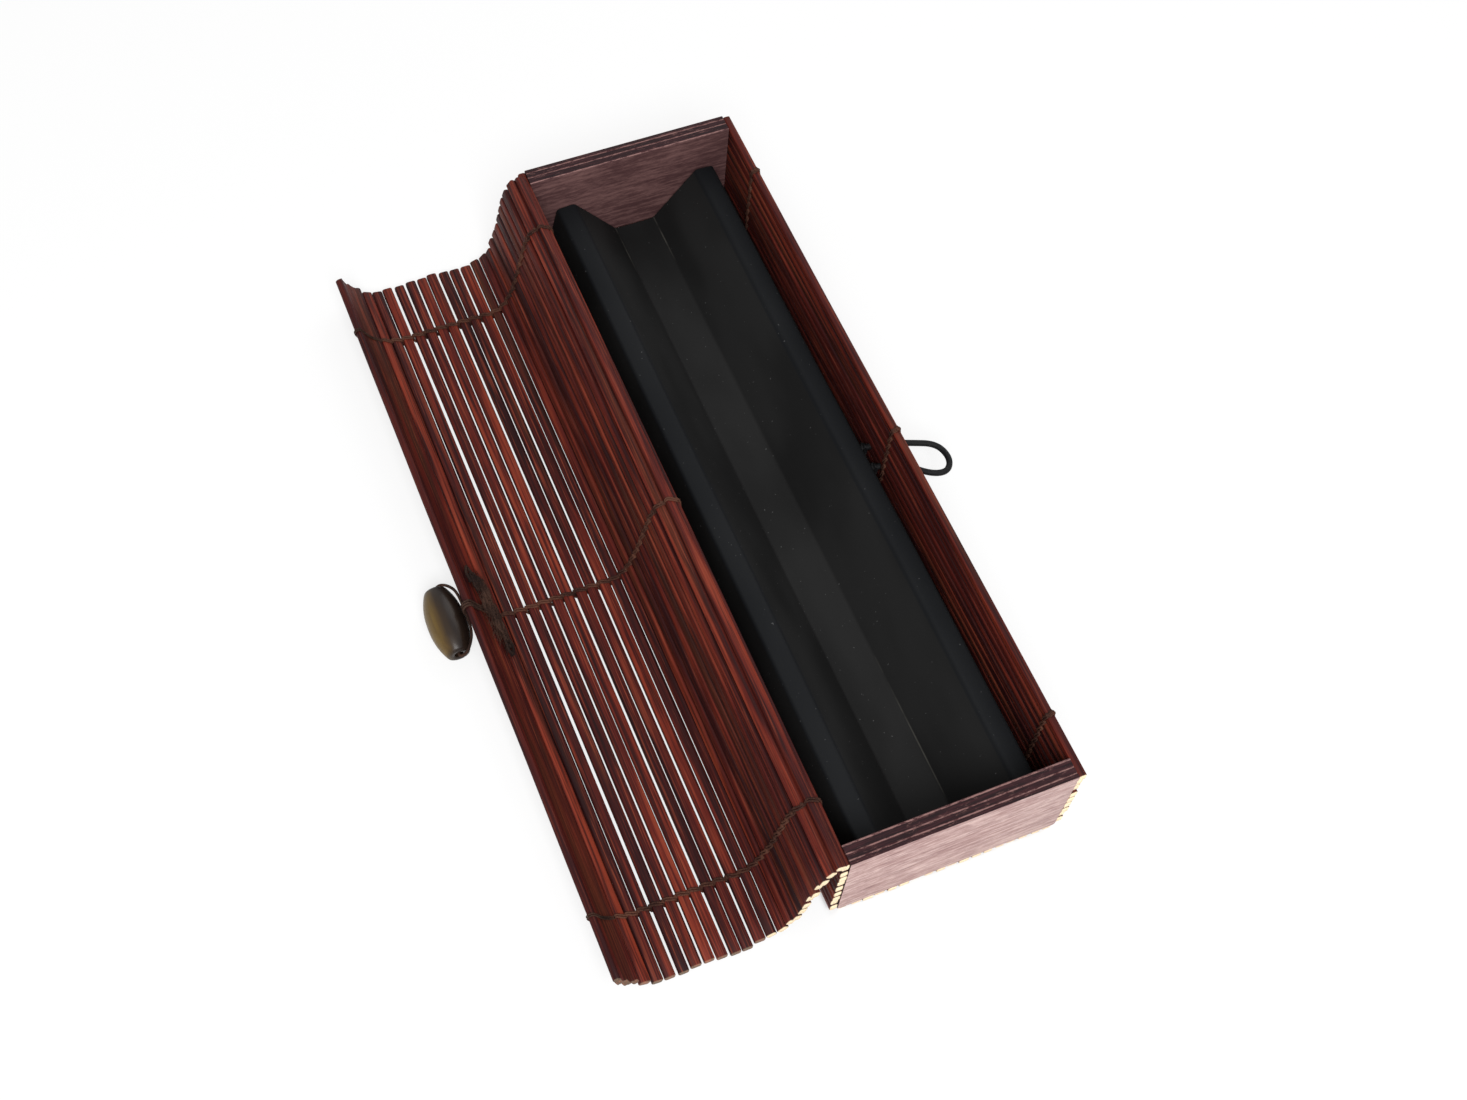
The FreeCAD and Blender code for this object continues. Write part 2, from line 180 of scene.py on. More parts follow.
class Wire:
    def __init__(self, finish, socket):
        self.finish = finish
        self.socket = socket

    def math(self, operation, first, second):
        return self.finish.node("Math", {"operation": operation}, {0: first, 1: second})

    def __add__(self, other):
        return self.math("ADD", self, other)

    def __radd__(self, other):
        return self.math("ADD", other, self)

    def __sub__(self, other):
        return self.math("SUBTRACT", self, other)

    def __rsub__(self, other):
        return self.math("SUBTRACT", other, self)

    def __mul__(self, other):
        return self.math("MULTIPLY", self, other)

    def __rmul__(self, other):
        return self.math("MULTIPLY", other, self)

    def __abs__(self):
        return self.math("ABSOLUTE", self, 0.0)


class Finish:
    def __init__(self, name, library="materials"):
        self.owner = getattr(bpy.data, library).new(name)
        self.owner.use_nodes = True
        self.tree = self.owner.node_tree
        self.tree.nodes.clear()

    def node(self, kind, settings, inputs, out=0):
        made = self.tree.nodes.new("ShaderNode" + kind)
        for key, value in settings.items():
            if key == "stops":
                ramp = made.color_ramp
                while len(ramp.elements) < len(value):
                    ramp.elements.new(0.5)
                for stop, (position, colour) in zip(ramp.elements, value):
                    stop.position = position
                    stop.color = colour
            else:
                setattr(made, key, value)
        for key, value in inputs.items():
            if isinstance(value, Wire):
                self.tree.links.new(value.socket, made.inputs[key])
            else:
                made.inputs[key].default_value = value
        return Wire(self, made.outputs[out]) if made.outputs else None

    def spots(self, stretch):
        # object coordinates, stretched
        base = self.node("TexCoord", {}, {}, "Object")
        return self.node("VectorMath", {"operation": "MULTIPLY"}, {0: base, 1: stretch})

    def axis(self, name):
        # one object coordinate, in metres
        return self.node("SeparateXYZ", {}, {0: self.node("TexCoord", {}, {}, "Object")}, name)

    def value(self, name):
        return self.node("Attribute", {"attribute_name": name}, {}, "Fac")

    def noise(self, where, detail=2.0, roughness=0.5, scale=1.0):
        return self.node("TexNoise", {}, {"Vector": where, "Scale": scale, "Detail": detail,
                                          "Roughness": roughness})

    def ramp(self, factor, *stops):
        return self.node("ValToRGB", {"stops": stops}, {0: factor})

    def step(self, factor, low, high, least=0.0, most=1.0):
        return self.node("MapRange", {"interpolation_type": "SMOOTHSTEP"},
                         {"Value": factor, "From Min": low, "From Max": high,
                          "To Min": least, "To Max": most})

    def mix(self, factor, first, second):
        return self.node("Mix", {"data_type": "RGBA"}, {0: factor, 6: first, 7: second}, 2)

    def bump(self, height, strength, distance):
        return self.node("Bump", {}, {"Height": height, "Strength": strength,
                                      "Distance": distance})

    def close(self, **inputs):
        named = {key.replace("_", " "): value for key, value in inputs.items()}
        self.node("OutputMaterial", {}, {"Surface": self.node("BsdfPrincipled", {}, named)})
        return self.owner


def paint(red, green, blue):
    # a colour as it looks on screen, 0 to 255
    parts = [value / 255 for value in (red, green, blue)]
    return (*(p / 12.92 if p <= 0.04045 else ((p + 0.055) / 1.055) ** 2.4 for p in parts), 1.0)


# Finishes that several pieces share

def stainedBamboo(name):
    # red-brown stain over lengthwise fibres, with painted shade darkening the long edges where
    # the slats meet
    f = Finish(name)
    tone = f.value("tone")
    cut = f.value("cut")

    def grainOf(stretch, slide):
        # each slat reads its own part of the pattern, as its tone says
        shift = f.node("CombineXYZ", {}, {"Y": tone * slide})
        return f.node("VectorMath", {"operation": "ADD"}, {0: f.spots(stretch), 1: shift})

    wide = grainOf((420, 17, 420), 70.0)
    fibre = f.noise(grainOf((2300, 38, 2300), 90.0), 4.0, 0.65)
    streak = f.noise(grainOf((1050, 24, 1050), 50.0), 3.0, 0.6)
    cloud = f.noise(wide, 3.0, 0.6)
    body = f.ramp(tone * 0.45 + f.step(cloud, 0.3, 0.7) * 0.55,
                  (0.05, paint(30, 9, 11)),
                  (0.35, paint(54, 16, 15)),
                  (0.65, paint(86, 28, 21)),
                  (0.98, paint(126, 49, 32)))
    olive = f.step(f.noise(wide, 2.0, 0.5, 0.6), 0.54, 0.68, 0.0, 0.55)
    body = f.mix(olive, body, paint(68, 38, 24))
    strength = 1 - f.value("calm")
    body = f.mix(f.step(streak, 0.51, 0.62, 0.0, 0.75) * strength, body, paint(28, 9, 10))
    body = f.mix(f.step(streak, 0.46, 0.34, 0.0, 0.4) * strength, body, paint(136, 62, 42))
    body = f.mix(f.step(fibre, 0.51, 0.64, 0.0, 0.72), body, paint(28, 9, 11))
    body = f.mix(f.step(fibre, 0.45, 0.32, 0.0, 0.5), body, paint(142, 66, 44))
    # painted shade: the long edges of each slat are darkened, standing in for the shade in the
    # gaps between slats
    edge = f.step(abs(f.value("across")), 0.78, 1.0, 0.0, 0.45)
    body = f.mix(edge, body, paint(30, 10, 12))
    pores = f.step(f.noise(f.spots((9000, 9000, 9000)), 2.0), 0.45, 0.6, 0.0, 0.6)
    grainEnd = f.mix(pores, paint(246, 232, 200), paint(214, 166, 112))
    return f.close(Base_Color=f.mix(cut, body, grainEnd), Roughness=0.5 + fibre * 0.2 + cut * 0.2,
                   Normal=f.bump(fibre, 0.5, 0.00012), Specular_IOR_Level=0.12)


def threadFinish(name, dark, pale):
    f = Finish(name)
    fuzz = f.noise(f.spots((4200, 4200, 4200)), 3.0, 0.7)
    patch = f.noise(f.spots((160, 160, 160)), 1.0)
    colour = f.mix(f.step(fuzz * 0.6 + patch * 0.5, 0.4, 0.72), dark, pale)
    return f.close(Base_Color=colour, Roughness=0.85, Normal=f.bump(fuzz, 0.8, 0.00012),
                   Specular_IOR_Level=0.15)


slatFinish = stainedBamboo("stained bamboo slats")
threadPaint = threadFinish("brown sewing thread", paint(34, 18, 15), paint(90, 56, 43))
tiePaint = threadFinish("grey-brown tie cord", paint(22, 12, 10), paint(70, 48, 38))


# Slats of the box and the lid

slat = {
    "width": 2.34,
    "thickness": 1.8,
    "edgeRound": 0.5,
    "endRound": 0.16,
    "cuts": 30,
    "near": -91.2,
    "far": 97.2,
    "lengthPlay": 0.5,
    "pitch": 2.88,
    "room": 1.42,           # how far from its middle line a slat's edge may be
    "slim": (0.9, 1.12),    # least and most of the width that a slat may have
    "bend": 0.4,            # the rest are shares of the play that a slat has in its room
    "lift": 0.3,
    "aside": (0.25, 0.6),
}


def makeBar():
    size = (slat["width"], slat["far"] - slat["near"], slat["thickness"])
    bar = box(size, (0, (slat["far"] + slat["near"]) / 2, 0))
    with editing(bar, "edges", lengthwise(bar)):
        bpy.ops.mesh.subdivide(number_cuts=slat["cuts"])
    with editing(bar, "edges", lengthwise(bar)):
        bpy.ops.mesh.bevel(offset=slat["edgeRound"], segments=3, affect="EDGES")
    with editing(bar, "polygons", lambda face: abs(face.normal.y) > 0.9):
        bpy.ops.mesh.bevel(offset=slat["endRound"], segments=1, affect="EDGES")
    half = slat["width"] / 2
    mark(bar, "across", [vertex.co.x / half for vertex in bar.data.vertices])
    markCuts(bar, (slat["near"], slat["far"]), 1.0)
    smooth(bar, 50)
    return bar


def crooked(bar, room, near, far, tones=(0.0, 1.0), cutShade=1.0):
    # a copy with its own width and slight bends, held in line where the thread goes round it
    made = twin(bar)
    gates = (near, rows["near"], rows["middle"], rows["far"], far)
    parts = range(len(gates) - 1)
    slim = chance.uniform(*slat["slim"])
    play = room - slim * slat["width"] / 2
    bends = [chance.uniform(-play, play) * slat["bend"] for part in parts]
    lifts = [chance.uniform(-play, play) * slat["lift"] for part in parts]
    aside = chance.choice((-play, play)) * chance.uniform(*slat["aside"])
    least, most = tones
    tone = least + (most - least) * chance.random()
    stretch = (far - near) / (slat["far"] - slat["near"])
    for vertex in made.data.vertices:
        spot = vertex.co
        y = near + (spot.y - slat["near"]) * stretch
        part = next((i for i in parts if gates[i] <= y <= gates[i + 1]), parts[-1])
        share = min(1, max(0, (y - gates[part]) / (gates[part + 1] - gates[part])))
        if part == parts[0]:
            wave = 1 - share
        elif part == parts[-1]:
            wave = share
        else:
            wave = math.sin(math.pi * share)
        vertex.co = (spot.x * slim + aside + bends[part] * wave, y, spot.z + lifts[part] * wave)
    mark(made, "tone", [tone] * len(made.data.vertices))
    mark(made, "cut", [item.value * cutShade for item in made.data.attributes["cut"].data])
    return made


def chainMatrix(x, z, degrees):
    # the frame of one link of the mat: X along the mat, Z out of it, Y as the box has it
    return Matrix.Translation((x, 0, z)) @ Matrix.Rotation(-math.radians(degrees), 4, "Y")


wall = {
    "pitch": 2.85,
    "middleX": 26.8,
    "floorZ": 2.1,
    "bottomZ": 1.2,
    "slats": 9,
    "bottomSlats": 18,
    "near": -90.5,
    "far": 99.5,
    "room": 1.39,
    "nodes": {"hinge": "hinge_wall_slats", "bottom": "bottom_slats", "loop": "loop_wall_slats"},
    "topTone": 0.85,        # the loop wall's slats get darker from its top slat down: painted shade towards the box floor
    "paintedShadeStep": 0.08,
    "toneRange": 0.2,
}


def wallMatrices():
    # one mat goes down the loop wall, under the floor and up the hinge wall
    pitch = wall["pitch"]
    top = wall["floorZ"] + pitch * wall["slats"]
    half = pitch * wall["bottomSlats"] / 2
    chains = {"loop": [], "bottom": [], "hinge": []}
    for index in range(wall["slats"]):
        rise = pitch * index
        chains["loop"].append(chainMatrix(wall["middleX"], top - rise, 270))
        chains["hinge"].append(chainMatrix(-wall["middleX"], wall["floorZ"] + rise, 90))
    for index in range(wall["bottomSlats"]):
        chains["bottom"].append(chainMatrix(half - pitch * index, wall["bottomZ"], 180))
    return chains


bar = makeBar()
chains = wallMatrices()
for chain, node in wall["nodes"].items():
    slats = []
    for index, matrix in enumerate(chains[chain]):
        near = wall["near"] + chance.uniform(0, slat["lengthPlay"])
        far = wall["far"] - chance.uniform(0, slat["lengthPlay"])
        tones = (0.0, 1.0)
        # painted shade: each loop-wall slat further down from the top gets a darker tone
        if chain == "loop":
            top = wall["topTone"] - wall["paintedShadeStep"] * index
            tones = (top - wall["toneRange"], top)
        made = crooked(bar, wall["room"], near, far, tones)
        made.data.transform(matrix @ Matrix.Translation((wall["pitch"] / 2, 0, 0)))
        slats.append(made)
    place(joined(slats), chain + "MatSlats", "box", node, slatFinish)

lid = {
    "slats": 22,
    "endTilt": 125,         # how the wide slat leans when the lid is open, in degrees
    "raggedness": 1.8,      # the lid's ends are cut less evenly than the walls' ends
    "lessRoom": 0.14,       # for the first and the last two, which turn most as the lid closes
    "highlightSlats": 2,          # the two at the fold get a light tone: a painted highlight where the lid turns over the hinge wall
    "highlightTone": 0.75,
    "paleCuts": 12,         # the cut ends show pale near the box and stained farther out
    "paleShade": 0.9,
    "stainedShade": 0.14,
}
hinges = [Vector(joint["pos_m"]) * 1000 for joint in frame["joints"]
          if joint["name"].startswith("lid_hinge")]


def linkMatrix(index):
    # from millimetres in the frame of one link of the open lid to metres in the box's frame
    here = hinges[index]
    direction = lid["endTilt"]
    if index < lid["slats"]:
        run = hinges[index + 1] - here
        direction = math.degrees(math.atan2(run.z, run.x))
    return toMetres @ chainMatrix(here.x, here.z, direction)


for index in range(lid["slats"]):
    number = "%02d" % (index + 1)
    near = slat["near"] + chance.uniform(0, slat["lengthPlay"]) * lid["raggedness"]
    far = slat["far"] - chance.uniform(0, slat["lengthPlay"]) * lid["raggedness"]
    turnsMost = index == 0 or index >= lid["slats"] - 2
    room = slat["room"] - (lid["lessRoom"] if turnsMost else 0.0)
    # painted highlight: the first slats of the lid get only light tones
    tones = (lid["highlightTone"] if index < lid["highlightSlats"] else 0.0, 1.0)
    shade = lid["paleShade"] if index < lid["paleCuts"] else lid["stainedShade"]
    made = crooked(bar, room, near, far, tones, shade)
    made.data.transform(Matrix.Translation((slat["pitch"] / 2, 0, 0)))
    place(made, "lidSlat" + number, "lid_" + number, "lid_slat_" + number,
          slatFinish, linkMatrix(index))
bpy.data.objects.remove(bar)
print("slats done")


# Wide cupped slat at the lid's edge

endSlat = {
    "width": 8.4,
    "thickness": 1.7,
    "cup": 0.55,
    "edgeRound": 0.7,
    "endRound": 0.15,
    "cuts": 40,
    "crossCuts": 9,
    "near": -90.3,
    "far": 97.5,
    "middleX": 4.59,
    "raggedness": 0.8,
    "raggedReach": 4,       # how far from each end the ragged shape reaches
    "tone": 0.42,
    "calm": 0.9,            # how much the dark and pale streaks are held back
    "cutShade": 0.1,
}


def makeEndSlat():
    ends = (endSlat["near"], endSlat["far"])
    half = endSlat["width"] / 2
    piece = box((endSlat["width"], ends[1] - ends[0], endSlat["thickness"]),
                (0, (ends[1] + ends[0]) / 2, 0))
    with editing(piece, "edges", lengthwise(piece)):
        bpy.ops.mesh.subdivide(number_cuts=endSlat["cuts"])
    with editing(piece, "edges", lambda edge: abs(spanOf(piece, edge).x) > 1):
        bpy.ops.mesh.subdivide(number_cuts=endSlat["crossCuts"])

    def longCorner(edge):
        atSide = all(abs(abs(spot.x) - half) < 0.01 for spot in endsOf(piece, edge))
        return atSide and abs(spanOf(piece, edge).y) > 1

    with editing(piece, "edges", longCorner):
        bpy.ops.mesh.bevel(offset=endSlat["edgeRound"], segments=4, affect="EDGES")
    with editing(piece, "polygons", lambda face: abs(face.normal.y) > 0.9):
        bpy.ops.mesh.bevel(offset=endSlat["endRound"], segments=1, affect="EDGES")
    count = len(piece.data.vertices)
    mark(piece, "across", [vertex.co.x / half for vertex in piece.data.vertices])
    markCuts(piece, ends, endSlat["cutShade"])
    mark(piece, "tone", [endSlat["tone"]] * count)
    mark(piece, "calm", [endSlat["calm"]] * count)
    # the cup is an arc between the two flat edges
    chord = half - endSlat["thickness"] / 2
    radius = (chord ** 2 + endSlat["cup"] ** 2) / (2 * endSlat["cup"])
    for vertex in piece.data.vertices:
        spot = vertex.co
        reach = min(abs(spot.y - end) for end in ends)
        ragged = max(0, 1 - reach / endSlat["raggedReach"])
        inward = 1 if spot.y < 0 else -1
        notch = (0.5 + 0.3 * math.sin(spot.x * 1.9 + inward)
                 + 0.2 * math.sin(spot.x * 4.3 + 2 * inward))
        wave = 0.12 * math.sin(spot.y / 23) + 0.05 * math.sin(spot.y / 7 + spot.x)
        spot.y += inward * ragged * notch * endSlat["raggedness"]
        spot.z += endSlat["cup"] - radius + math.sqrt(radius ** 2 - min(abs(spot.x), chord) ** 2)
        spot.x += wave * (1 if abs(spot.x) > 2 else 0.4)
    smooth(piece, 45)
    return piece


piece = makeEndSlat()
piece.data.transform(Matrix.Translation((endSlat["middleX"], 0, 0)))
place(piece, "lidEndSlat", "lid_end", "lid_end_slat", slatFinish,
      linkMatrix(lid["slats"]))
print("wide slat done")


# Sewing thread

stitch = {
    "thick": 0.25,
    "crown": 1.02,          # how far the strands lie from the middle of the mat
    "spread": 0.5,
    "slant": 0.3,
    "sway": 0.16,
    "narrow": 0.9,
    "knotRing": (0.3, 0.2),
    "knotShape": (0.8, 2.2),
    "outerKnot": 0.68,      # where the knots of the twist stand out on the mat's two faces
    "innerKnot": 0.78,
    "lumpyKnot": 1.0,
}


def makeStitch(innerKnot):
    # strands over and under one slat, and the knots of the twist in the gap before it
    pieces = []
    pitch = slat["pitch"]
    for side in (1, -1):
        slant = stitch["slant"] * side
        high = stitch["crown"] * side
        for lean in (1, -1):
            off = lean * stitch["spread"] / 2
            points = [(0, slant * 0.5, 0), (0.1, slant + off, high * 0.7),
                      (0.5, slant + off, high * 1.06), (pitch / 2, off * 1.4, high),
                      (pitch - 0.5, off - slant, high * 1.06),
                      (pitch - 0.1, off - slant, high * 0.7), (pitch, -slant * 0.5, 0)]
            pieces.append(strand(points, stitch["thick"], 6, 2))
    for height in (stitch["outerKnot"], -innerKnot):
        radius, thick = stitch["knotRing"]
        ring = fresh(bpy.ops.mesh.primitive_torus_add, major_segments=8, minor_segments=5,
                     major_radius=radius, minor_radius=thick,
                     location=(0, 0, height), rotation=(math.pi / 2, 0.5, 0.3))
        for vertex in ring.data.vertices:
            vertex.co.x *= stitch["knotShape"][0]
            vertex.co.y *= stitch["knotShape"][1]
        pieces.append(ring)
    unit = joined(pieces)
    smooth(unit, 80)
    return unit


def stitchAt(unit, rowY, matrix=None):
    made = twin(unit)
    flip = chance.choice((-1, 1))
    drift = chance.uniform(-1, 1) * stitch["sway"]
    for vertex in made.data.vertices:
        spot = vertex.co
        sway = drift * math.sin(math.pi * spot.x / slat["pitch"]) * flip
        spot.y = rowY + spot.y * stitch["narrow"] + sway
    if matrix:
        made.data.transform(matrix)
    return made


unit = makeStitch(stitch["innerKnot"])
lumpy = makeStitch(stitch["lumpyKnot"])
for index in range(lid["slats"]):
    number = "%02d" % (index + 1)
    # where the lid turns most, the knots stay low and clear of the next slats
    kind = lumpy if 1 < index < lid["slats"] - 2 else unit
    made = joined([stitchAt(kind, rowY) for rowY in rows.values()])
    place(made, "lidStitches" + number, "lid_" + number, "lid_thread_" + number,
          threadPaint, linkMatrix(index))

boxThread = {
    "cornerRadius": 0.19,
    "corner": ((26.8, 0, 2.1), (27.95, 0.1, 1.7), (27.2, 0, 0.25), (25.65, -0.1, 0.6)),
    "tailRadius": 0.2,
    "tail": ((26.1, 0.2, 26.3), (26.0, 0.25, 27.5), (26.8, 0.1, 27.9),
             (27.7, -0.1, 27.4), (27.95, -0.2, 26.4), (27.9, -0.6, 25.2)),
    "knotRadius": 0.24,
    "knotTurns": 3,
    "knotStep": 0.28,
}


def rowEnd(rowY, step):
    # one turn of the knot that ties a row off at the top of the loop wall
    return [(26.4, rowY - 0.5 + step, 27.5), (26.9, rowY - 0.55 + step, 27.95),
            (27.4, rowY + 0.1 + step, 27.9), (27.3, rowY + 0.6, 27.6),
            (26.6, rowY + 0.5 - step, 27.7), (26.5, rowY - 0.2, 27.9 - step * 0.3)]


for row, rowY in rows.items():
    made = [stitchAt(unit, rowY, matrix) for chain in chains.values() for matrix in chain]
    for side in (1, -1):
        corner = [(side * x, rowY + y, z) for x, y, z in boxThread["corner"]]
        made.append(strand(corner, boxThread["cornerRadius"]))
    tail = [(x, rowY + y, z) for x, y, z in boxThread["tail"]]
    made.append(strand(tail, boxThread["tailRadius"], 8))
    for turn in range(boxThread["knotTurns"]):
        made.append(strand(rowEnd(rowY, boxThread["knotStep"] * turn), boxThread["knotRadius"]))
    place(joined(made), "boxThread_" + row, "box", "box_thread_" + row,
          threadPaint)
bpy.data.objects.remove(unit)
bpy.data.objects.remove(lumpy)
print("sewing done")


# Thread round the wide slat, in its own frame

endBand = {
    "radius": 0.16,
    "back": 0.2,
    "turns": (0.0, 0.45),
    "ring": ((0.1, 0, 0), (0.3, -0.1, -0.95), (1.6, -0.25, -0.75), (4.6, -0.35, -0.45),
             (7.4, -0.1, -0.75), (8.85, 0, -0.95), (9.2, 0.1, 0), (8.7, 0.1, 1.0),
             (7.2, 0, 1.3), (4.6, 0, 1.62), (2.0, 0, 1.3), (0.4, 0, 0.95), (0.1, 0, 0)),
}
made = []
for row in ("far", "near"):
    for turn in endBand["turns"]:
        middleY = rows[row] - endBand["back"] + turn
        ring = [(x, middleY + y, z) for x, y, z in endBand["ring"]]
        made.append(strand(ring, endBand["radius"], 6, 4))
bands = joined(made)
smooth(bands, 80)
place(bands, "lidEndThread", "lid_end", "lid_end_thread", tiePaint,
      linkMatrix(lid["slats"]))
print("end bands done")


# Toggle

toggle = {
    "length": 17.0,
    "radius": 4.4,
    "endRadius": 2.75,
    "bore": 1.0,
    "place": (-80.242, 1.5, 4.62),
    "sides": 48,
    "steps": 16,
    "shoulder": 0.6,        # from each end to where the belly starts
    "belly": 2.3,           # more makes the belly fuller
}


def toggleStations():
    # the bead's outline as places along its axis and radii there, from one mouth to the other
    half = toggle["length"] / 2
    shoulder = toggle["shoulder"]
    rim = ((0.25, toggle["bore"]), (0, toggle["bore"] + 0.3),
           (0, toggle["endRadius"] - 0.75), (0.2, toggle["endRadius"] - 0.25))
    stations = [(-half + depth, radius) for depth, radius in rim]
    for step in range(toggle["steps"] + 1):
        y = -half + shoulder + (toggle["length"] - 2 * shoulder) * step / toggle["steps"]
        fullness = 1 - abs(y / (half - shoulder)) ** toggle["belly"]
        bulge = (toggle["radius"] - toggle["endRadius"]) * fullness
        stations.append((y, toggle["endRadius"] + bulge))
    return stations + [(half - depth, radius) for depth, radius in reversed(rim)]


def makeToggle():
    stations = toggleStations()
    y, radius = stations[0]
    piece = fresh(bpy.ops.mesh.primitive_circle_add, vertices=toggle["sides"], radius=radius,
                  location=(0, y, 0), rotation=(math.pi / 2, 0, 0))
    with editing(piece, "edges", everything):
        for nextY, nextRadius in stations[1:]:
            step = (0, nextY - y, 0)
            bpy.ops.mesh.extrude_edges_move(TRANSFORM_OT_translate={"value": step})
            growth = nextRadius / radius
            bpy.ops.transform.resize(value=(growth, 1, growth), center_override=(0, nextY, 0))
            y, radius = nextY, nextRadius

    def onRim(edge):
        spots = endsOf(piece, edge)
        return any(all(abs(spot.y - y) < 0.01 and abs(spot.xz.length - radius) < 0.01
                       for spot in spots) for y, radius in (stations[0], stations[-1]))

    with editing(piece, "edges", onRim):
        bpy.ops.mesh.bridge_edge_loops()
    fixNormals(piece)
    smooth(piece, 40)
    return piece


def toggleFinish():
    # olive on the side away from the lid, and painted shade darkening the side towards it; dark
    # brown at both ends
    f = Finish("polished toggle nut")
    streak = f.noise(f.spots((900, 45, 900)), 4.0, 0.6)
    cloud = f.noise(f.spots((190, 70, 190)), 2.0, 0.5)
    # painted shade: the side towards the lid is darkened
    side = f.step(f.axis("X"), -0.0835, -0.0795)
    colour = f.ramp(side * 0.62 + streak * 0.3 + cloud * 0.22,
                    (0.2, paint(102, 80, 34)),
                    (0.42, paint(74, 56, 28)),
                    (0.66, paint(42, 30, 19)),
                    (0.9, paint(26, 18, 14)))
    reach = abs(f.axis("Y") - toggle["place"][1] * 0.001)
    colour = f.mix(f.step(reach, 0.0072, 0.0089, 0.0, 0.75), colour, paint(30, 22, 18))
    return f.close(Base_Color=colour, Roughness=0.3 + streak * 0.16,
                   Normal=f.bump(streak, 0.25, 0.0001), Specular_IOR_Level=0.2,
                   Coat_Weight=0.08, Coat_Roughness=0.15)


piece = makeToggle()
piece.data.transform(Matrix.Translation(toggle["place"]))
place(piece, "toggleBead", "toggle", "toggle", toggleFinish())
print("toggle done")


# Cord through the toggle, its tie and the frayed knot

tie = {
    "cordRadius": 0.34,
    "cordHigh": 5.35,       # from the bead's axis to the cord's run behind it
    "windings": (0.75, 1.35, 1.95),
    "windingRadius": 0.26,
    "loops": 26,
    "loopSize": (0.8, 1.5),
    "loopRadius": 0.36,
    "trail": ((4.4, 9.6, -1.3), (1.4, 6.2, -1.9), (2.5, 2.2, -1.6), (1.0, -1.4, -2.1),
              (0.9, -8.6, -1.9)),
    "frays": 120,
    "frayLength": (1.2, 4.2),
    "frayRadius": 0.06,
}


def makeToggleCord():
    # two passes lie in the bore, and the cord comes back between the bead and the wide slat
    half = toggle["length"] / 2
    high = tie["cordHigh"]
    tilt = math.radians(lid["endTilt"] - 90)
    normal = Vector((math.cos(tilt), 0, math.sin(tilt)))
    middle = toggle["place"]

    def at(y, rise):
        return tuple(Vector((middle[0], middle[1] + y, middle[2])) + normal * rise)

    points = [at(0, 0), at(half - 1, 0), at(half + 0.45, 0.1), at(half + 0.75, 1.8),
              at(half - 0.6, 3.6), at(half - 3.2, high - 0.1), at(0, high),
              at(3.2 - half, high - 0.1), at(0.6 - half, 3.6), at(-half - 0.75, 1.8),
              at(-half - 0.45, 0.1), at(1 - half, 0), at(0, 0)]
    return strand(points, tie["cordRadius"], 8, 4)


cordPiece = makeToggleCord()
smooth(cordPiece, 80)
place(cordPiece, "toggleCord", "lid_end", "toggle_cord", tiePaint)


def winding(index, y):
    # one turn round the wide slat and the cord
    lean = 0.25 * math.sin(index * 2.1)
    return [(0.0, y, -0.3), (0.4, y + lean, -1.0), (2.0, y + lean, -0.85), (4.6, y, -0.5),
            (7.4, y - lean, -0.85), (8.9, y, -1.0), (9.35, y, 0.1), (8.6, y + lean, 1.35),
            (6.6, y, 2.35), (4.4, y, 2.45), (1.8, y - lean, 1.9), (0.2, y, 0.9),
            (0.0, y, -0.3)]


def tangleLoop(index):
    # a loop of the tangle in the hollow beside the wide slat, drawn out along the trail
    last = len(tie["trail"]) - 1
    share = index / (tie["loops"] - 1) * last
    part = min(int(share), last - 1)
    here, there = (Vector(spot) for spot in tie["trail"][part:part + 2])
    astray = Vector((chance.uniform(-0.6, 0.6), chance.uniform(-0.8, 0.8), 0))
    centre = here.lerp(there, share - part) + astray
    size = chance.uniform(*tie["loopSize"])
    turn = chance.uniform(0, math.tau)
    points = []
    for step in range(7):
        angle = turn + step * 1.1
        points.append(centre + Vector((size * math.cos(angle), 1.7 * size * math.sin(angle),
                                       0.4 * math.sin(step * 2.4))))
    return points


def fray():
    # one loose fibre of the tangle
    x = chance.uniform(0.1, 4.6)
    y = chance.uniform(-8, 9)
    reach = chance.choice((-1, 1)) * chance.uniform(*tie["frayLength"])
    z = -1.3 - chance.uniform(0, 0.9)
    return [(x, y, z),
            (x + chance.uniform(-0.5, 0.5), y + reach * 0.4, z - chance.uniform(0, 0.4)),
            (x + chance.uniform(-0.8, 0.8), y + reach * 0.8, z),
            (x + chance.uniform(-1, 1), y + reach, -1.1)]


def makeTie():
    # in the wide slat's frame: the windings, then the tangle on the inner face
    made = [strand(winding(index, y), tie["windingRadius"], 6, 4)
            for index, y in enumerate(tie["windings"])]
    made += [strand(tangleLoop(index), tie["loopRadius"]) for index in range(tie["loops"])]
    made += [strand(fray(), tie["frayRadius"], 4, 2) for index in range(tie["frays"])]
    return joined(made)


piece = makeTie()
smooth(piece, 80)
place(piece, "toggleTie", "lid_end", "toggle_tie", tiePaint,
      linkMatrix(lid["slats"]))
print("tie done")


# End boards

board = {
    "half": 25.9,
    "low": 2.1,
    "high": 27.75,
    "thickness": 4.7,
    "outer": {"near": (-90.5, 1), "far": (99.5, -1)},   # outer face, and the way inwards
    "seams": (0.95, 1.3, 2.45, 2.75, 3.85),             # all depths are from the outer face
    "strips": ((0.95, 1.25), (2.45, 2.75), (4.2, 4.55)),
    "grooves": 2,           # the first so many light strips are grooves as well
    "groove": 0.1,
    "grooveEdge": 0.04,
    "footRound": 0.9,
    "edgeRound": 0.16,
    "stripBlur": 0.08,
}


